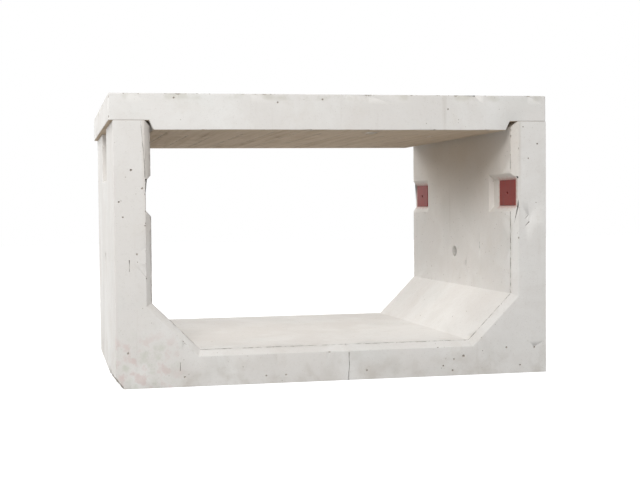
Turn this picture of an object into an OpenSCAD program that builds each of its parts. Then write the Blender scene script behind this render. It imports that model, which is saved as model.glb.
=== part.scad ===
// Precast concrete U-drain unit with its loose cover slab.
// X runs across the channel, Y along it and Z up. The origin is on the ground,
// under the middle of the channel unit.

/* [Channel] */
// Clear width between the walls
clear_w = 2000; // [1800:10:2400]
// Clear height from the floor to the top of the walls
clear_h = 1200; // [1100:10:1500]
// Length of the unit along the drain
unit_len = 1500; // [1300:10:2400]
// Thickness of the walls
wall_t = 195; // [160:5:260]
// Thickness of the base
base_t = 190; // [150:5:260]
// Leg of the sloping haunch between floor and wall
haunch = 250; // [150:5:320]
// Leg of the chamfer round the channel's mouth at both ends
mouth_chamfer = 33; // [15:1:45]
// Leg of the chamfer along the top inner edge of each wall
wall_top_chamfer = 28; // [10:1:35]

/* [Cover slab] */
// How much wider the cover slab is than the channel unit
cover_extra_w = 20; // [-20:1:40]
// Thickness of the slab over the walls
cover_t = 140; // [120:1:200]
// Depth of the rib that drops between the walls
rib_d = 50; // [20:1:60]
// Gap between the rib's underside and the walls, both sides together
rib_play = 60; // [60:1:120]
// How far the rib's sides lean out towards their top
rib_lean = 25; // [5:1:26]
// Offset of the slab across the channel, as it was set down
cover_shift = -12; // [-12:1:12]

/* [Joint pockets] */
// Height of the middle of each pocket above the ground
pocket_z = 1000; // [850:5:1050]
// Height of the pocket at its bottom
pocket_h = 150; // [146:2:180]
// Length of the pocket from the end face
pocket_len = 295; // [260:5:340]
// Depth of the pocket into the wall
pocket_d = 31; // [20:1:45]
// Height of the steel plate
plate_h = 142; // [80:2:144]
// Width of the steel plate along the drain
plate_w = 185; // [80:5:190]
// Thickness of the steel plate
plate_t = 12; // [8:1:20]
// How far the plate stands out of the concrete
plate_proud = 3; // [0:1:5]
// Distance from the end face to the plate
plate_in = 32; // [24:2:50]
// Diameter of the bolt hole in the middle of the plate
bolt_d = 14; // [8:1:24]

/* [Wall holes and lifting recesses] */
// Diameter of the hole through each wall
wall_hole_d = 64; // [30:2:90]
// Height of the wall hole above the ground
wall_hole_z = 645; // [560:5:760]
// Distance of the wall hole from the middle of the unit
wall_hole_y = 30; // [-200:5:200]
// Length of the lifting recess in the top of each outer face
recess_len = 390; // [200:10:500]
// Depth of the lifting recess below the top of the wall
recess_h = 290; // [100:10:350]
// Depth of the lifting recess into the wall
recess_d = 50; // [20:1:70]

/* [Hidden] */
$fn = 64;
cut = 10;
half_clear = clear_w / 2;
half_w = half_clear + wall_t;
half_len = unit_len / 2;
wall_top = base_t + clear_h;
cover_w = 2 * half_w + cover_extra_w;
rib_w = clear_w - rib_play;
plate_x = half_clear + pocket_d - plate_proud;
plate_y = half_len - plate_in - plate_w / 2;

// A profile in X and Z, drawn out along the drain between two places on Y
module along(from, to) {
    translate([0, to, 0]) rotate([90, 0, 0]) linear_extrude(to - from) children();
}

// The same shape on the left and the right, or at the front and the back
module both_sides() {
    children();
    mirror([1, 0, 0]) children();
}

module both_ends() {
    children();
    mirror([0, 1, 0]) children();
}

// The clear inside outline, grown outwards by the given amount
function inside_points(grow = 0) =
    let (
        corner = grow * tan(22.5),
        floor_x = half_clear - haunch + corner,
        side_x = half_clear + grow,
        slope_z = base_t + haunch - corner
    )
    [
        [-floor_x, base_t - grow], [floor_x, base_t - grow],
        [side_x, slope_z], [side_x, wall_top + cut],
        [-side_x, wall_top + cut], [-side_x, slope_z],
    ];

// The chamfer round the mouth at the back end: a prism that widens towards the end face
module mouth_flare() {
    narrow = inside_points();
    wide = inside_points(mouth_chamfer + cut);
    n = len(narrow);
    polyhedron(
        points = concat(
            [for (p = narrow) [p[0], half_len - mouth_chamfer, p[1]]],
            [for (p = wide) [p[0], half_len + cut, p[1]]]
        ),
        faces = concat(
            [[for (i = [n - 1:-1:0]) i], [for (i = [0:n - 1]) n + i]],
            [for (i = [0:n - 1]) [i, (i + 1) % n, n + (i + 1) % n, n + i]]
        )
    );
}

// The chamfer along the top inner edge of the right wall
module wall_top_bevel() {
    reach = wall_top_chamfer + cut;
    along(-half_len - cut, half_len + cut)
        polygon([
            [half_clear - cut, wall_top - reach],
            [half_clear + reach, wall_top + cut],
            [half_clear - cut, wall_top + cut],
        ]);
}

// The pocket at the back of the right wall, splayed above and below, open to the end
module joint_pocket() {
    half_in = pocket_h / 2;
    half_out = half_in + pocket_d + cut;
    translate([0, 0, pocket_z])
        along(half_len - pocket_len, half_len + cut)
            polygon([
                [half_clear - cut, -half_out], [half_clear + pocket_d, -half_in],
                [half_clear + pocket_d, half_in], [half_clear - cut, half_out],
            ]);
}

// The bed of the steel plate at the back of the right wall
module plate_block() {
    translate([plate_x, plate_y - plate_w / 2, pocket_z - plate_h / 2])
        cube([plate_t, plate_w, plate_h]);
}

module bolt_hole() {
    translate([plate_x - cut, plate_y, pocket_z])
        rotate([0, 90, 0]) cylinder(h = plate_t + 2 * cut, d = bolt_d);
}

module wall_hole() {
    translate([half_clear - cut, wall_hole_y, wall_hole_z])
        rotate([0, 90, 0]) cylinder(h = wall_t + 2 * cut, d = wall_hole_d);
}

// The lifting recess in the right wall's outer face, open at the top
module lifting_recess() {
    translate([half_w - recess_d, -recess_len / 2, wall_top - recess_h])
        cube([recess_d + cut, recess_len, recess_h + cut]);
}

// One steel plate, in the corner that the two signs give
module joint_plate(side, end) {
    mirror([side < 0 ? 1 : 0, 0, 0]) mirror([0, end < 0 ? 1 : 0, 0])
        difference() {
            plate_block();
            bolt_hole();
        }
}

module drain_channel() {
    color([0.86, 0.84, 0.81]) difference() {
        translate([-half_w, -half_len, 0]) cube([2 * half_w, unit_len, wall_top]);
        along(-half_len - cut, half_len + cut) polygon(inside_points());
        both_ends() mouth_flare();
        both_sides() {
            wall_top_bevel();
            wall_hole();
            lifting_recess();
            both_ends() {
                joint_pocket();
                plate_block();
            }
        }
    }
}

module cover_slab() {
    half_cover = cover_w / 2;
    half_rib = rib_w / 2;
    color([0.88, 0.86, 0.83]) translate([cover_shift, 0, wall_top])
        along(-half_len, half_len)
            polygon([
                [-half_cover, 0], [-half_rib - rib_lean, 0], [-half_rib, -rib_d],
                [half_rib, -rib_d], [half_rib + rib_lean, 0], [half_cover, 0],
                [half_cover, cover_t], [-half_cover, cover_t],
            ]);
}

module front_left_plate() {
    color([0.52, 0.20, 0.17]) joint_plate(-1, -1);
}

module front_right_plate() {
    color([0.52, 0.20, 0.17]) joint_plate(1, -1);
}

module back_left_plate() {
    color([0.52, 0.20, 0.17]) joint_plate(-1, 1);
}

module back_right_plate() {
    color([0.52, 0.20, 0.17]) joint_plate(1, 1);
}

drain_channel();
cover_slab();
front_left_plate();
front_right_plate();
back_left_plate();
back_right_plate();
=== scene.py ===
import math
import random

import bmesh
import bpy
from mathutils import Matrix, Vector, noise


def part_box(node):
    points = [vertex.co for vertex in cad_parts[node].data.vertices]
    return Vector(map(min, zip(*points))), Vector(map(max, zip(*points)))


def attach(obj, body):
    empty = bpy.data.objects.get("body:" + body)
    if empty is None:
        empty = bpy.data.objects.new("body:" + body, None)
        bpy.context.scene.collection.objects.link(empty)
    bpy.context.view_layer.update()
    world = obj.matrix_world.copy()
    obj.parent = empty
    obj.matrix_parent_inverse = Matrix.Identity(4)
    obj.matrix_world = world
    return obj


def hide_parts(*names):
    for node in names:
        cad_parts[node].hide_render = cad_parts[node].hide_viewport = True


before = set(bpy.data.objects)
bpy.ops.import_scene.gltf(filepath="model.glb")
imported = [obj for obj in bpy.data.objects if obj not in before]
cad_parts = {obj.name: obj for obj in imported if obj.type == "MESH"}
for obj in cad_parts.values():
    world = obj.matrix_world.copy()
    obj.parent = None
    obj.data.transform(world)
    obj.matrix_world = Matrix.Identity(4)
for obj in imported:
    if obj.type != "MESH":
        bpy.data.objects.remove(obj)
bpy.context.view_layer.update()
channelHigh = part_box("drain_channel")[1]
coverLow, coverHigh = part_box("cover_slab")
plateLow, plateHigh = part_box("front_right_plate")
plateHalf = (plateHigh - plateLow) / 2
plateMiddle = (plateHigh + plateLow) / 2
endY = channelHigh.y          # both end faces are this far from the middle
outerX = channelHigh.x        # and both outer faces this far
wallTop = channelHigh.z


class Wire:
    # one socket of a node tree; sums written on it become Math nodes
    def __init__(self, tree, socket=None):
        self.tree = tree
        self.socket = socket

    def node(self, kind, settings=None, inputs=None, output=0):
        made = self.tree.nodes.new(kind)
        for name, value in (settings or {}).items():
            setattr(made, name, value)
        for key, value in (inputs or {}).items():
            if isinstance(value, Wire):
                self.tree.links.new(value.socket, made.inputs[key])
            else:
                made.inputs[key].default_value = value
        return Wire(self.tree, made.outputs[output] if made.outputs else None)

    def out(self, name):
        return Wire(self.tree, self.socket.node.outputs[name])

    def maths(self, operation, first, second=0.0, clamp=False):
        settings = {"operation": operation, "use_clamp": clamp}
        return self.node("ShaderNodeMath", settings, {0: first, 1: second})

    def __add__(self, other):
        return self.maths("ADD", self, other)

    __radd__ = __add__

    def __sub__(self, other):
        return self.maths("SUBTRACT", self, other)

    def __rsub__(self, other):
        return self.maths("SUBTRACT", other, self)

    def __mul__(self, other):
        return self.maths("MULTIPLY", self, other)

    __rmul__ = __mul__

    def __pow__(self, other):
        return self.maths("POWER", self, other)

    def __abs__(self):
        return self.maths("ABSOLUTE", self)

    def clamped(self):
        return self.maths("ADD", self, 0.0, clamp=True)

    def largest(self, other):
        return self.maths("MAXIMUM", self, other)

    def fade(self, start, end, low=0.0, high=1.0):
        # goes smoothly from low at start to high at end
        spans = {"Value": self, "From Min": start, "From Max": end, "To Min": low, "To Max": high}
        return self.node("ShaderNodeMapRange", {"interpolation_type": "SMOOTHSTEP"}, spans)

    def within(self, start, end, soft):
        # 1 between start and end, with soft edges
        return self.fade(start - soft, start + soft) * self.fade(end - soft, end + soft, 1.0, 0.0)

    def blend(self, first, second):
        # self is the factor between two colours
        return self.node("ShaderNodeMix", {"data_type": "RGBA"}, {0: self, 6: first, 7: second}, 2)


def rgba(colour, share=1.0):
    return (colour[0] * share, colour[1] * share, colour[2] * share, 1.0)


def addObject(name, mesh):
    made = bpy.data.objects.new(name, mesh)
    bpy.context.scene.collection.objects.link(made)
    return made


def addMesh(name, points, edges=(), faces=()):
    mesh = bpy.data.meshes.new(name)
    mesh.from_pydata([tuple(point) for point in points], edges, faces)
    return mesh


def cleanCopy(nodeName, pieceName):
    # the CAD node's shape as a closed mesh with one face for each flat side
    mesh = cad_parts[nodeName].data.copy()
    mesh.materials.clear()
    form = bmesh.new()
    form.from_mesh(mesh)
    bmesh.ops.remove_doubles(form, verts=form.verts, dist=1e-5)
    bmesh.ops.dissolve_limit(form, angle_limit=math.radians(0.5), verts=form.verts, edges=form.edges)
    bmesh.ops.recalc_face_normals(form, faces=form.faces)
    form.to_mesh(mesh)
    form.free()
    return addObject(pieceName, mesh)


def bakeModifiers(piece):
    # the evaluated shape becomes the piece's own plain mesh
    graph = bpy.context.evaluated_depsgraph_get()
    shaped = bpy.data.meshes.new_from_object(piece.evaluated_get(graph))
    piece.modifiers.clear()
    old = piece.data
    piece.data = shaped
    if old.users == 0:
        bpy.data.meshes.remove(old)


def roundArrises(piece, width, segments=2):
    bevel = piece.modifiers.new("bevel", "BEVEL")
    bevel.width = width
    bevel.segments = segments
    bevel.limit_method = "ANGLE"
    bevel.angle_limit = math.radians(30)
    bakeModifiers(piece)


cellLook = {
    "size": 0.13,
    "eachWay": 12,      # cells from the middle, enough to pass the longest side
    "offset": 0.37,     # keeps the planes off the castings' own edges
}


def cutIntoCells(piece):
    # splits large faces along even planes, so that each cut touches small faces only
    look = cellLook
    form = bmesh.new()
    form.from_mesh(piece.data)
    for axis in range(3):
        for step in range(-look["eachWay"], look["eachWay"] + 1):
            place, normal = Vector((0, 0, 0)), Vector((0, 0, 0))
            place[axis], normal[axis] = (step + look["offset"]) * look["size"], 1.0
            parts = form.verts[:] + form.edges[:] + form.faces[:]
            bmesh.ops.bisect_plane(form, geom=parts, dist=1e-6, plane_co=place, plane_no=normal)
    form.to_mesh(piece.data)
    form.free()


def carve(piece, cutter):
    # takes the cutter out of the piece, and lines the cut with the cutter's material
    cut = piece.modifiers.new("carve", "BOOLEAN")
    cut.operation = "DIFFERENCE"
    cut.solver = "MANIFOLD"
    cut.material_mode = "TRANSFER"
    cut.object = cutter
    bakeModifiers(piece)
    bpy.data.objects.remove(cutter)


def shadeByAngle(piece, angle=20):
    # shades every face smooth, with a hard edge wherever two faces meet at more than the angle
    piece.data.set_sharp_from_angle(angle=math.radians(angle))


def countTriangles(piece):
    return sum(len(face.vertices) - 2 for face in piece.data.polygons)


def newTree(name, sockets):
    # a geometry tree with a mesh in, named inputs and a mesh out
    tree = bpy.data.node_groups.new(name, "GeometryNodeTree")
    tree.interface.new_socket("Mesh", in_out="OUTPUT", socket_type="NodeSocketGeometry")
    tree.interface.new_socket("Mesh", in_out="INPUT", socket_type="NodeSocketGeometry")
    for label, kind in sockets:
        tree.interface.new_socket(label, in_out="INPUT", socket_type=kind)
    start = Wire(tree)
    return start, start.node("NodeGroupInput")


def growOn(source, start, name, values):
    # runs a tree on the source mesh and gives back what it makes, as a plain object
    host = addObject(name, source)
    modifier = host.modifiers.new(name, "NODES")
    modifier.node_group = start.tree
    for item in start.tree.interface.items_tree:
        if item.in_out == "INPUT" and item.name in values:
            modifier[item.identifier] = values[item.name]
    bakeModifiers(host)
    return host


def finishTree(start, copies, material, joined=True):
    # joins what overlaps, gives it one material and ends the tree
    if joined:
        copies = start.node("GeometryNodeMeshBoolean", {"operation": "UNION", "solver": "MANIFOLD"}, {
            "Mesh 2": copies,
        })
    solid = start.node("GeometryNodeRealizeInstances", None, {"Geometry": copies})
    coated = start.node("GeometryNodeSetMaterial", None, {"Geometry": solid, "Material": material})
    start.node("NodeGroupOutput", None, {0: coated})


def noiseAt(start, place, scale, detail=3.0, roughness=0.55, distortion=0.0):
    return start.node("ShaderNodeTexNoise", {"noise_dimensions": "3D"}, {
        "Vector": place, "Scale": scale, "Detail": detail,
        "Roughness": roughness, "Distortion": distortion,
    })


def randomFloat(start, smallest, largest, seed):
    return start.node("FunctionNodeRandomValue", {"data_type": "FLOAT"}, {
        2: smallest, 3: largest, "Seed": seed,
    }, 1)


def unevenOffset(start, scale, detail, roughness, amount):
    # an offset that wanders from place to place
    place = start.node("GeometryNodeInputPosition")
    shift = noiseAt(start, place, scale, detail, roughness).out("Color")
    middle = {0: shift, 1: (0.5, 0.5, 0.5)}
    centred = start.node("ShaderNodeVectorMath", {"operation": "SUBTRACT"}, middle)
    return start.node("ShaderNodeVectorMath", {"operation": "SCALE"}, {0: centred, "Scale": amount})


def makeBubbleTree():
    # round air bubbles all over the faces of a mesh, most of them small
    start, given = newTree("bubbles", [
        ("Density", "NodeSocketFloat"), ("Apart", "NodeSocketFloat"), ("Smallest", "NodeSocketFloat"),
        ("Largest", "NodeSocketFloat"), ("Seed", "NodeSocketInt"), ("Material", "NodeSocketMaterial"),
    ])
    places = start.node("GeometryNodeDistributePointsOnFaces", {"distribute_method": "POISSON"}, {
        "Mesh": given, "Distance Min": given.out("Apart"), "Density Max": given.out("Density"),
        "Seed": given.out("Seed"),
    })
    ball = start.node("GeometryNodeMeshUVSphere", None, {"Segments": 8, "Rings": 5, "Radius": 1.0})
    chance = randomFloat(start, 0.0, 1.0, given.out("Seed"))
    size = given.out("Smallest") + (given.out("Largest") - given.out("Smallest")) * chance ** 7.0
    stretch = randomFloat(start, 0.7, 1.3, 5)
    shape = start.node("ShaderNodeCombineXYZ", None, {0: size * stretch, 1: size, 2: size * 0.8})
    copies = start.node("GeometryNodeInstanceOnPoints", None, {
        "Points": places, "Instance": ball, "Rotation": places.out("Rotation"), "Scale": shape,
    })
    finishTree(start, copies, given.out("Material"), joined=False)
    return start


def makeChipTree():
    # uneven lumps on the points of a mesh; each point's own "size" and "aim" shape its lump
    start, given = newTree("chips", [
        ("Uneven", "NodeSocketFloat"), ("Longest", "NodeSocketFloat"), ("Seed", "NodeSocketInt"),
        ("Material", "NodeSocketMaterial"),
    ])
    ball = start.node("GeometryNodeMeshIcoSphere", None, {"Subdivisions": 2, "Radius": 1.0})
    size = start.node("GeometryNodeInputNamedAttribute", {"data_type": "FLOAT"}, {"Name": "size"})
    aim = start.node("GeometryNodeInputNamedAttribute", {"data_type": "FLOAT_VECTOR"}, {"Name": "aim"})
    aligned = start.node("FunctionNodeAlignRotationToVector", {"axis": "X"}, {"Vector": aim})
    stretch = randomFloat(start, 1.0, given.out("Longest"), given.out("Seed"))
    shape = start.node("ShaderNodeCombineXYZ", None, {0: size * stretch, 1: size, 2: size})
    points = start.node("GeometryNodeMeshToPoints", None, {"Mesh": given})
    copies = start.node("GeometryNodeInstanceOnPoints", None, {
        "Points": points, "Instance": ball, "Rotation": aligned, "Scale": shape,
    })
    solid = start.node("GeometryNodeRealizeInstances", None, {"Geometry": copies})
    moved = unevenOffset(start, 95.0, 1.0, 0.5, given.out("Uneven"))
    rough = start.node("GeometryNodeSetPosition", None, {"Geometry": solid, "Offset": moved})
    finishTree(start, rough, given.out("Material"))
    return start


def makeSeamTree():
    # a thin groove of uneven width along the edges of a mesh
    start, given = newTree("seams", [
        ("Width", "NodeSocketFloat"), ("Wander", "NodeSocketFloat"), ("Step", "NodeSocketFloat"),
        ("Material", "NodeSocketMaterial"),
    ])
    line = start.node("GeometryNodeMeshToCurve", None, {"Mesh": given})
    evened = start.node("GeometryNodeResampleCurve", {"mode": "LENGTH"}, {
        "Curve": line, "Length": given.out("Step"),
    })
    moved = unevenOffset(start, 22.0, 3.0, 0.7, given.out("Wander"))
    bent = start.node("GeometryNodeSetPosition", None, {"Geometry": evened, "Offset": moved})
    worn = noiseAt(start, start.node("GeometryNodeInputPosition"), 31.0, 2.0, 0.5)
    ring = start.node("GeometryNodeCurvePrimitiveCircle", None, {"Resolution": 4, "Radius": 1.0})
    width = given.out("Width") * worn.fade(0.32, 0.72, 0.25, 1.8)
    tube = start.node("GeometryNodeCurveToMesh", None, {
        "Curve": bent, "Profile Curve": ring, "Scale": width, "Fill Caps": True,
    })
    finishTree(start, tube, given.out("Material"))
    return start


cameraLook = {
    "place": (-1.532, -5.725, 0.928),
    "turnedRight": 9.42,      # degrees away from straight along the drain
    "tiltedDown": 1.83,
    "rolled": -0.70,
    "lens": 54.3,
    "shift": 0.175,
}


def addCamera():
    data = bpy.data.cameras.new("camera")
    data.lens = cameraLook["lens"]
    data.shift_x = cameraLook["shift"]
    camera = addObject("camera", data)
    camera.matrix_world = (
        Matrix.Translation(cameraLook["place"])
        @ Matrix.Rotation(math.radians(-cameraLook["turnedRight"]), 4, "Z")
        @ Matrix.Rotation(math.radians(90 - cameraLook["tiltedDown"]), 4, "X")
        @ Matrix.Rotation(math.radians(cameraLook["rolled"]), 4, "Z")
    )
    bpy.context.scene.camera = camera
    print("camera placed")


def newMaterial(name):
    material = bpy.data.materials.new(name)
    material.use_nodes = True
    return material, Wire(material.node_tree), material.node_tree.nodes["Principled BSDF"]


def feed(shader, name, wire):
    wire.tree.links.new(wire.socket, shader.inputs[name])


def stretched(start, place, scale):
    return start.node("ShaderNodeMapping", {"vector_type": "POINT"}, {"Vector": place, "Scale": scale})


concreteLook = {
    "tone": (0.690, 0.668, 0.640),
    "paleTone": (0.750, 0.738, 0.715),
    "warmTone": (0.650, 0.615, 0.570),
    "coolTone": (0.660, 0.665, 0.640),
    "poreTone": (0.330, 0.300, 0.265),
    "dirtTone": (0.360, 0.315, 0.255),
    "brownStainAndShadeTone": (0.390, 0.300, 0.205),    # the soffit, stained by its boards, and the upper inner walls; both also carry painted shade
    "paleBoardStainAndShadeTone": (0.480, 0.385, 0.285),
    "darkBoardStainAndShadeTone": (0.170, 0.130, 0.090),
    "dustTone": (0.460, 0.450, 0.370),
    "sprayTone": (0.520, 0.270, 0.240),    # red paint that went past the plates
    "topTone": (0.480, 0.470, 0.445),
    "mossTone": (0.470, 0.500, 0.400),
    "roughness": 0.88,
}


def paintConcrete(start):
    # the cloudy tones and water marks that both castings share
    look = concreteLook
    coords = start.node("ShaderNodeTexCoord").out("Object")
    facing = start.node("ShaderNodeSeparateXYZ", None, {0: coords.out("Normal")})
    split = start.node("ShaderNodeSeparateXYZ", None, {0: coords})
    up = facing.out("Z").fade(0.45, 0.75)
    clouds = noiseAt(start, coords, 2.3, 5.0, 0.6, 0.4)
    patches = noiseAt(start, coords, 6.5, 4.0, 0.55, 0.25)
    streaks = noiseAt(start, stretched(start, coords, (16.0, 16.0, 0.9)), 1.0, 4.0, 0.6)
    tone = clouds.fade(0.38, 0.66).blend(rgba(look["tone"]), rgba(look["paleTone"]))
    tone = (patches.fade(0.52, 0.76) * 0.40).blend(tone, rgba(look["warmTone"]))
    cool = noiseAt(start, coords, 3.7, 4.0).fade(0.50, 0.76) * 0.35
    tone = cool.blend(tone, rgba(look["coolTone"]))
    tone = (streaks.fade(0.60, 0.80) * 0.22 * (1 - up)).blend(tone, rgba(look["dirtTone"]))
    return {
        "coords": coords, "x": split.out("X"), "y": split.out("Y"), "z": split.out("Z"),
        "up": up, "down": (facing.out("Z") * -1.0).fade(0.45, 0.75),
        "clouds": clouds, "patches": patches, "tone": tone,
    }


def finishConcrete(start, shader, parts, tone):
    # pores, fine grain, roughness and bump
    look = concreteLook
    coords = parts["coords"]
    grain = noiseAt(start, coords, 55.0, 4.0, 0.65)
    sand = noiseAt(start, coords, 420.0, 2.0, 0.6)
    cells = start.node("ShaderNodeTexVoronoi", {"feature": "F1"}, {"Vector": coords, "Scale": 38.0})
    chance = start.node("ShaderNodeSeparateXYZ", None, {0: cells.out("Color")})
    pores = (chance.fade(0.82, 1.0, 0.0, 0.12) - cells).fade(-0.015, 0.02)
    fine = start.node("ShaderNodeTexVoronoi", {"feature": "F1"}, {"Vector": coords, "Scale": 120.0})
    fineChance = start.node("ShaderNodeSeparateXYZ", None, {0: fine.out("Color")}, "Y")
    pinholes = (fineChance.fade(0.75, 1.0, 0.0, 0.18) - fine).fade(-0.02, 0.03)
    tone = (pores * 0.75).blend(tone, rgba(look["poreTone"]))
    tone = (pinholes * 0.35).blend(tone, rgba(look["poreTone"]))
    tone = (sand.fade(0.35, 0.65) * 0.10).blend(tone, rgba(look["dirtTone"]))
    tone = (grain.fade(0.52, 0.75) * 0.10).blend(tone, rgba(look["dirtTone"]))
    height = grain * 0.35 + sand * 0.12 - pores * 0.9 - pinholes * 0.3
    bump = start.node("ShaderNodeBump", None, {"Strength": 0.35, "Distance": 0.0022, "Height": height})
    feed(shader, "Base Color", tone)
    feed(shader, "Roughness", grain.fade(0.3, 0.7, look["roughness"] - 0.06, look["roughness"] + 0.06))
    feed(shader, "Normal", bump)


def makeChannelConcrete():
    material, start, shader = newMaterial("channelConcrete")
    look = concreteLook
    parts = paintConcrete(start)
    y, z, tone = parts["y"], parts["z"], parts["tone"]
    # the inner walls are painted brown and darker under the cover, partly as stain and partly as
    # painted shade from the cover, and lighter towards the floor and the ends
    inner = abs(parts["x"]).within(0.985, 1.045, 0.008) * z.fade(0.40, 0.46)
    coverShadeMask = z.fade(0.70, 1.36) * abs(y).fade(0.80, 0.25, 0.35, 1.0)
    coverShadeAndStain = inner * (coverShadeMask * parts["clouds"].fade(0.25, 0.70, 0.75, 1.05)).clamped()
    tone = (coverShadeAndStain * 0.72).blend(tone, rgba(look["brownStainAndShadeTone"]))
    # patches that get darker towards the ground
    nearGroundDarkening = z.fade(0.22, 0.0) * parts["patches"].fade(0.42, 0.66)
    tone = (nearGroundDarkening * 0.30).blend(tone, rgba(look["dirtTone"]))
    # blotches of moss and paint low on the front left corner
    corner = parts["x"].fade(-0.78, -0.98) * y.fade(-0.60, -0.70) * z.fade(0.34, 0.18)
    mottle = noiseAt(start, parts["coords"], 17.0, 3.0)
    tone = (corner * mottle.fade(0.48, 0.72) * 0.42).blend(tone, rgba(look["mossTone"]))
    tone = (corner * mottle.fade(0.50, 0.34) * 0.26).blend(tone, rgba(look["sprayTone"]))
    # a ragged fringe of paint on the pocket round each plate
    ragged = noiseAt(start, parts["coords"], 60.0, 3.0) * 0.030 - 0.013
    farY = abs(abs(y) - abs(plateMiddle.y)) - plateHalf.y - ragged
    farZ = abs(z - plateMiddle.z) - plateHalf.z - ragged
    fringe = farY.largest(farZ).fade(0.022, 0.0) * abs(parts["x"]).fade(1.006, 1.016)
    fringe = fringe * abs(parts["x"]).fade(1.044, 1.040)
    tone = (fringe * 0.62).blend(tone, rgba(look["sprayTone"]))
    finishConcrete(start, shader, parts, tone)
    return material


def makeCoverConcrete():
    material, start, shader = newMaterial("coverConcrete")
    look = concreteLook
    parts = paintConcrete(start)
    tone, coords = parts["tone"], parts["coords"]
    # the soffit is brown partly from its boards and partly as painted shade on the downward faces, with
    # grain that runs along the drain
    boards = noiseAt(start, stretched(start, coords, (26.0, 1.2, 1.0)), 1.0, 5.0, 0.62, 0.3)
    soffit = boards.fade(0.35, 0.70).blend(rgba(look["paleBoardStainAndShadeTone"]), rgba(look["brownStainAndShadeTone"]))
    soffit = (boards.fade(0.62, 0.74) * 0.55).blend(soffit, rgba(look["darkBoardStainAndShadeTone"]))
    tone = parts["down"].blend(tone, soffit)
    # the trowelled top has weathered, and its edge holds a little dust
    weathered = parts["up"] * parts["patches"].fade(0.30, 0.70, 0.45, 0.75)
    tone = weathered.blend(tone, rgba(look["topTone"]))
    edge = parts["z"].within(coverHigh.z - 0.030, coverHigh.z + 0.01, 0.012)
    tone = (edge * parts["patches"].fade(0.48, 0.62) * 0.35).blend(tone, rgba(look["dustTone"]))
    finishConcrete(start, shader, parts, tone)
    return material


# tones of the lining of every cut; their darkness is partly painted shade in the hollows
brokenAndPitShadeLook = {"darkTone": (0.30, 0.265, 0.225), "paleTone": (0.47, 0.435, 0.385)}


def makeBrokenConcreteAndPitShade():
    # what the chips, holes and bubbles are lined with: broken concrete's own colour, darkened with
    # painted shade inside the hollows
    material, start, shader = newMaterial("brokenConcreteAndPitShade")
    coords = start.node("ShaderNodeTexCoord").out("Object")
    lumps = noiseAt(start, coords, 70.0, 4.0, 0.7)
    tone = lumps.fade(0.3, 0.7).blend(rgba(brokenAndPitShadeLook["darkTone"]), rgba(brokenAndPitShadeLook["paleTone"]))
    bump = start.node("ShaderNodeBump", None, {"Strength": 0.8, "Distance": 0.004, "Height": lumps})
    feed(shader, "Base Color", tone)
    shader.inputs["Roughness"].default_value = 0.95
    feed(shader, "Normal", bump)
    return material


seamLook = {"darkTone": (0.20, 0.185, 0.16), "paleTone": (0.38, 0.36, 0.33)}


def makeDarkSeam():
    # dirt in the thin grooves
    material, start, shader = newMaterial("darkSeam")
    coords = start.node("ShaderNodeTexCoord").out("Object")
    tone = noiseAt(start, coords, 40.0).fade(0.3, 0.7)
    tone = tone.blend(rgba(seamLook["darkTone"]), rgba(seamLook["paleTone"]))
    feed(shader, "Base Color", tone)
    shader.inputs["Roughness"].default_value = 0.95
    return material


primerLook = {
    "darkTone": (0.175, 0.024, 0.019),
    "paleTone": (0.255, 0.038, 0.029),
    "wornTone": (0.125, 0.024, 0.020),
    "specular": 0.3,
}


def makePrimer():
    # brushed red anti-rust paint
    material, start, shader = newMaterial("redPrimer")
    coords = start.node("ShaderNodeTexCoord").out("Object")
    brushed = noiseAt(start, stretched(start, coords, (30.0, 160.0, 9.0)), 1.0, 4.0, 0.6)
    worn = noiseAt(start, coords, 22.0, 4.0, 0.6)
    look = primerLook
    tone = brushed.fade(0.35, 0.68).blend(rgba(look["darkTone"]), rgba(look["paleTone"]))
    tone = (worn.fade(0.60, 0.75) * 0.5).blend(tone, rgba(look["wornTone"]))
    shader.inputs["Specular IOR Level"].default_value = look["specular"]
    bump = start.node("ShaderNodeBump", None, {"Strength": 0.25, "Distance": 0.001, "Height": brushed})
    feed(shader, "Base Color", tone)
    feed(shader, "Roughness", brushed.fade(0.3, 0.7, 0.48, 0.66))
    feed(shader, "Normal", bump)
    return material


addCamera()
channelConcrete = makeChannelConcrete()
coverConcrete = makeCoverConcrete()
brokenConcreteAndPitShade = makeBrokenConcreteAndPitShade()
darkSeam = makeDarkSeam()
redPrimer = makePrimer()
bubbleTree = makeBubbleTree()
chipTree = makeChipTree()
seamTree = makeSeamTree()
print("materials and trees ready")


def chipPoints(name, runs, seed):
    # points for chips along straight runs, each (from, to, how many, smallest, largest)
    dice = random.Random(seed)
    loose = 0.002     # how far a chip may lie off its line
    points, sizes, aims = [], [], []
    for start, end, count, smallest, largest in runs:
        start, end = Vector(start), Vector(end)
        for turn in range(count):
            place = start.lerp(end, dice.random())
            points.append(place + Vector([dice.uniform(-loose, loose) for axis in range(3)]))
            sizes.append(smallest + (largest - smallest) * dice.random() ** 4)
            aims.append((end - start).normalized())
    mesh = addMesh(name, points)
    mesh.attributes.new("size", "FLOAT", "POINT").data.foreach_set("value", sizes)
    flat = [number for aim in aims for number in aim]
    mesh.attributes.new("aim", "FLOAT_VECTOR", "POINT").data.foreach_set("vector", flat)
    return mesh


def edgeRuns(line, counts, smallest, largest):
    # one run of chips for each stretch of a line
    return [(line[step], line[step + 1], count, smallest, largest) for step, count in enumerate(counts)]


def lineMesh(name, lines):
    # each line is a list of points joined by edges
    points, edges = [], []
    for line in lines:
        first = len(points)
        points += line
        edges += [(first + step, first + step + 1) for step in range(len(line) - 1)]
    return addMesh(name, points, edges)


def cutBubbles(piece, source, look, seed):
    # air bubbles spread over the whole source shape
    smallest, largest = look["bubbleSizes"]
    bubbles = growOn(source, bubbleTree, "bubbles", {
        "Density": look["bubbleDensity"], "Apart": look["bubbleApart"],
        "Smallest": smallest, "Largest": largest, "Seed": seed, "Material": brokenConcreteAndPitShade,
    })
    carve(piece, bubbles)


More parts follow.
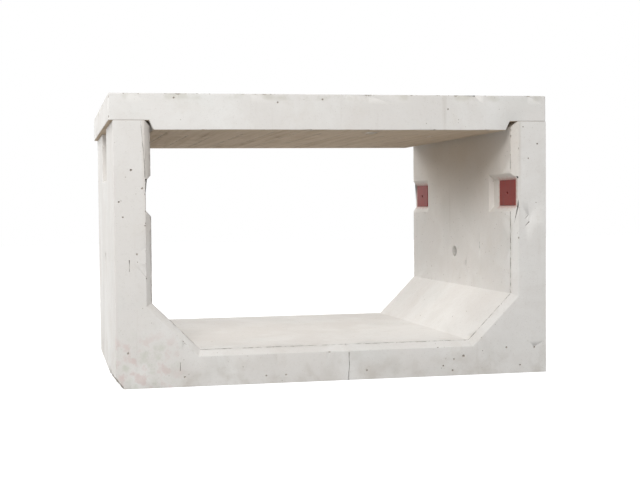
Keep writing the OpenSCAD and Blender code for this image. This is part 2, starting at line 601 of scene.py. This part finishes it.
channelLook = {
    "arris": 0.004,
    "bubbleDensity": 45.0,
    "bubbleApart": 0.022,
    "bubbleSizes": (0.0011, 0.0046),
    "seamWidth": 0.0022,
    "lineWidth": 0.0020,
    "floorZ": 0.190,
    "haunch": 0.250,
    "clearX": 1.000,
    "mouth": 0.033,
    "brokenHigh": 0.067,     # the broken foot of the front left corner
    "brokenWide": 0.044,
    "brokenLong": 0.75,
}


def insideLine(end, grow=0.0):
    # the clear outline at one end of the channel, from wall top round to wall top
    look = channelLook
    corner = grow * math.tan(math.radians(22.5))
    floorX = look["clearX"] - look["haunch"] + corner
    sideX = look["clearX"] + grow
    slopeZ = look["floorZ"] + look["haunch"] - corner
    floorZ = look["floorZ"] - grow
    y = end * (endY - (look["mouth"] - grow))
    right = [(floorX, y, floorZ), (sideX, y, slopeZ), (sideX, y, wallTop)]
    left = [(-px, py, pz) for px, py, pz in reversed(right)]
    return left + right


def brokenCorner():
    # a ragged wedge along the foot of the left wall that runs out towards the back
    look = channelLook
    stations, along = 26, 9
    points, faces = [], []
    for station in range(stations):
        part = station / (stations - 1)
        y = -endY - 0.02 + (look["brokenLong"] + 0.02) * part
        share = max(0.03, (1 - part) ** 1.25)
        high, wide = look["brokenHigh"] * share, look["brokenWide"] * share
        foot, wall = Vector((-outerX + wide, y, -0.004)), Vector((-outerX - 0.004, y, high))
        for step in range(along):
            point = foot.lerp(wall, step / (along - 1))
            if 0 < step < along - 1:
                push = noise.noise(point * 38) * 0.010 + noise.noise(point * 110) * 0.0045
                point = point + Vector((0.8, 0, 0.55)) * push * share ** 0.5
            points.append(point)
        points.append(Vector((-outerX - 0.03, y, high)))
        points.append(Vector((-outerX - 0.03, y, -0.03)))
        points.append(Vector((-outerX + wide, y, -0.03)))
    ring = along + 3
    for station in range(stations - 1):
        for step in range(ring):
            first, second = station * ring + step, station * ring + (step + 1) % ring
            faces.append((first, second, second + ring, first + ring))
    faces.append(tuple(reversed(range(ring))))
    faces.append(tuple((stations - 1) * ring + step for step in range(ring)))
    mesh = addMesh("brokenCorner", points, (), faces)
    form = bmesh.new()
    form.from_mesh(mesh)
    bmesh.ops.recalc_face_normals(form, faces=form.faces)
    form.to_mesh(mesh)
    form.free()
    mesh.materials.append(brokenConcreteAndPitShade)
    return addObject("brokenCorner", mesh)


# larger air holes on the front: across, up and radius, in metres
channelHoles = [
    (0.704, 0.108, 0.0075), (0.650, 0.090, 0.0050), (0.590, 0.057, 0.0050), (0.640, 0.030, 0.0050),
    (-0.400, 0.043, 0.0045), (-0.295, 0.044, 0.0045), (0.155, 0.047, 0.0045), (-1.106, 1.133, 0.0055),
    (-1.050, 1.037, 0.0055), (-1.170, 0.970, 0.0050), (-1.152, 0.890, 0.0045), (-1.037, 0.846, 0.0045),
    (-1.080, 0.700, 0.0055), (-1.135, 0.185, 0.0055), (-0.840, 0.052, 0.0050), (1.090, 1.187, 0.0045),
    (1.144, 1.266, 0.0050), (0.957, 0.144, 0.0055), (1.122, 0.140, 0.0055), (1.040, 0.045, 0.0050),
]
coverHoles = [
    (-0.880, 1.508, 0.0055), (-0.327, 1.485, 0.0050), (-0.080, 1.503, 0.0055), (0.620, 1.455, 0.0045),
]

# thin lines on the channel: the mould joint in the base, a crack and short scratches
channelLines = [
    [(0.052, -endY, -0.01), (0.056, -endY, 0.07), (0.054, -endY, 0.150)],
    [(-1.052, -endY, 1.385), (-1.040, -endY, 1.25), (-1.030, -endY, 1.09)],
    [(0.999, -0.33, 0.670), (0.999, -0.33, 0.716)],
    [(0.999, -0.14, 0.560), (0.999, -0.14, 0.600)],
    [(-1.120, -endY, 0.610), (-1.119, -endY, 0.670)],
    [(-0.862, -endY, 0.085), (-0.861, -endY, 0.130)],
    [(1.070, -endY, 0.855), (1.095, -endY, 0.880)],
    [(1.072, -endY, 0.815), (1.096, -endY, 0.838)],
]


def drillHoles(piece, name, holes):
    # one hollow for each (across, up, radius) on the front face
    runs = [((x, -endY, z), (x + 0.001, -endY, z), 1, size, size) for x, z, size in holes]
    hollows = growOn(chipPoints(name, runs, 2), chipTree, name, {
        "Uneven": 0.003, "Longest": 1.2, "Seed": 1, "Material": brokenConcreteAndPitShade,
    })
    carve(piece, hollows)


def makeChannel():
    look = channelLook
    piece = cleanCopy("drain_channel", "channel")
    roundArrises(piece, look["arris"])
    cutIntoCells(piece)
    piece.data.materials.append(channelConcrete)
    source = piece.data.copy()
    carve(piece, brokenCorner())
    drillHoles(piece, "channelHoles", channelHoles)
    carve(piece, growOn(lineMesh("channelLines", channelLines), seamTree, "channelLines", {
        "Width": look["lineWidth"], "Wander": 0.006, "Step": 0.012, "Material": darkSeam,
    }))
    for end in (-1, 1):
        mouth = insideLine(end)
        seam = growOn(lineMesh("mouthLine", [mouth]), seamTree, "mouthSeam", {
            "Width": look["seamWidth"], "Wander": 0.0025, "Step": 0.014, "Material": darkSeam,
        })
        carve(piece, seam)
        runs = edgeRuns(mouth, (26, 8, 34, 8, 22), 0.0015, 0.006)
        runs += edgeRuns(insideLine(end, look["mouth"]), (26, 5, 14, 4, 16), 0.001, 0.004)
        chips = growOn(chipPoints("mouthChips", runs, 11 + end), chipTree, "mouthChips", {
            "Uneven": 0.006, "Longest": 2.6, "Seed": 3, "Material": brokenConcreteAndPitShade,
        })
        carve(piece, chips)
    print("channel seams and chips cut", countTriangles(piece))
    cutBubbles(piece, source, look, 4)
    shadeByAngle(piece)
    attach(piece, "channel")
    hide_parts("drain_channel")
    print("channel made with", countTriangles(piece), "triangles")


coverLook = {
    "arris": 0.005,
    "bubbleDensity": 30.0,
    "bubbleApart": 0.024,
    "bubbleSizes": (0.0011, 0.0050),
    "boardWidth": 0.145,
    "seamWidth": 0.0020,
}


def makeCover():
    look = coverLook
    piece = cleanCopy("cover_slab", "cover")
    roundArrises(piece, look["arris"])
    cutIntoCells(piece)
    piece.data.materials.append(coverConcrete)
    source = piece.data.copy()
    drillHoles(piece, "coverHoles", coverHoles)
    ribZ = coverLow.z
    lines = []
    dice = random.Random(8)
    boardX = coverLow.x + 0.32
    while boardX < coverHigh.x - 0.30:
        lineStart = -endY + dice.uniform(0.0, 0.5)
        lineEnd = endY - dice.uniform(0.0, 0.4)
        lines.append([(boardX, lineStart, ribZ), (boardX + dice.uniform(-0.01, 0.01), lineEnd, ribZ)])
        boardX += look["boardWidth"]
    carve(piece, growOn(lineMesh("boardLines", lines), seamTree, "boardSeams", {
        "Width": look["seamWidth"], "Wander": 0.010, "Step": 0.02, "Material": darkSeam,
    }))
    runs = []
    for y in (-endY, endY):
        runs.append(((coverLow.x, y, coverHigh.z), (coverHigh.x, y, coverHigh.z), 60, 0.002, 0.0075))
        runs.append(((coverLow.x + 0.25, y, ribZ), (coverHigh.x - 0.25, y, ribZ), 26, 0.0015, 0.006))
        for x in (coverLow.x, coverHigh.x):
            runs.append(((x, y, wallTop), (x, y, coverHigh.z), 7, 0.002, 0.007))
    for x in (coverLow.x, coverHigh.x):
        runs.append(((x, -endY, coverHigh.z), (x, endY, coverHigh.z), 34, 0.002, 0.008))
        runs.append(((x, -endY, wallTop), (x, endY, wallTop), 20, 0.002, 0.007))
    chips = growOn(chipPoints("coverChips", runs, 5), chipTree, "coverChips", {
        "Uneven": 0.006, "Longest": 2.6, "Seed": 6, "Material": brokenConcreteAndPitShade,
    })
    carve(piece, chips)
    cutBubbles(piece, source, look, 9)
    shadeByAngle(piece)
    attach(piece, "cover")
    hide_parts("cover_slab")
    print("cover made with", countTriangles(piece), "triangles")


plateLook = {"arris": 0.0012}


def makePlates():
    for end in ("front", "back"):
        for side in ("left", "right"):
            name = end + "_" + side + "_plate"
            piece = cleanCopy(name, end + side.capitalize() + "Plate")
            roundArrises(piece, plateLook["arris"])
            piece.data.materials.append(redPrimer)
            shadeByAngle(piece)
            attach(piece, "channel")
            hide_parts(name)
    print("plates made")


makeChannel()
makeCover()
makePlates()

stageLook = {
    "floorSize": 40.0,
    "floorTone": 0.42,
    "floorGlow": 0.80,       # lifts the floor to plain white where no shadow falls
    "skyStrength": 0.55,
    "keyWatts": 490.0,
    "keyPlace": (-3.2, -6.5, 6.0),
    "keySize": 4.0,
    "backWatts": 400.0,
    "backPlace": (-1.8, 6.5, 4.6),
    "backSize": 4.0,
    "sideWatts": 130.0,
    "sidePlace": (-7.0, 0.5, 4.0),
    "sideSize": 3.5,
}


def seenDirectly(start):
    rays = start.node("ShaderNodeLightPath")
    mirrored = rays.out("Is Glossy Ray") + rays.out("Is Transmission Ray")
    return (rays.out("Is Camera Ray") + mirrored).clamped()


def addFloor():
    look = stageLook
    size = look["floorSize"] / 2
    corners = [(-size, -size, 0), (size, -size, 0), (size, size, 0), (-size, size, 0)]
    mesh = addMesh("floor", corners, (), [(0, 1, 2, 3)])
    material, start, shader = newMaterial("floor")
    shader.inputs["Base Color"].default_value = rgba((look["floorTone"],) * 3)
    shader.inputs["Roughness"].default_value = 0.9
    shader.inputs["Emission Strength"].default_value = 1.0
    tone = seenDirectly(start).blend(rgba((0, 0, 0)), rgba((look["floorGlow"],) * 3))
    feed(shader, "Emission Color", tone)
    mesh.materials.append(material)
    addObject("floor", mesh)


def addLamp(name, place, size, watts):
    lamp = bpy.data.lights.new(name, "AREA")
    lamp.energy = watts
    lamp.size = size
    place = Vector(place)
    aim = Vector((0, 0, 0.7)) - place
    turn = aim.to_track_quat("-Z", "Y").to_matrix().to_4x4()
    addObject(name, lamp).matrix_world = Matrix.Translation(place) @ turn


def addLight():
    look = stageLook
    world = bpy.data.worlds.new("sky")
    bpy.context.scene.world = world
    world.use_nodes = True
    start = Wire(world.node_tree)
    background = world.node_tree.nodes["Background"]
    background.inputs["Color"].default_value = (1.0, 1.0, 1.0, 1.0)
    strength = seenDirectly(start) * (1.0 - look["skyStrength"]) + look["skyStrength"]
    start.tree.links.new(strength.socket, background.inputs["Strength"])
    addLamp("key", look["keyPlace"], look["keySize"], look["keyWatts"])
    addLamp("back", look["backPlace"], look["backSize"], look["backWatts"])
    addLamp("side", look["sidePlace"], look["sideSize"], look["sideWatts"])
    print("stage and light ready")


addFloor()
addLight()
bpy.context.scene.view_settings.view_transform = "Standard"
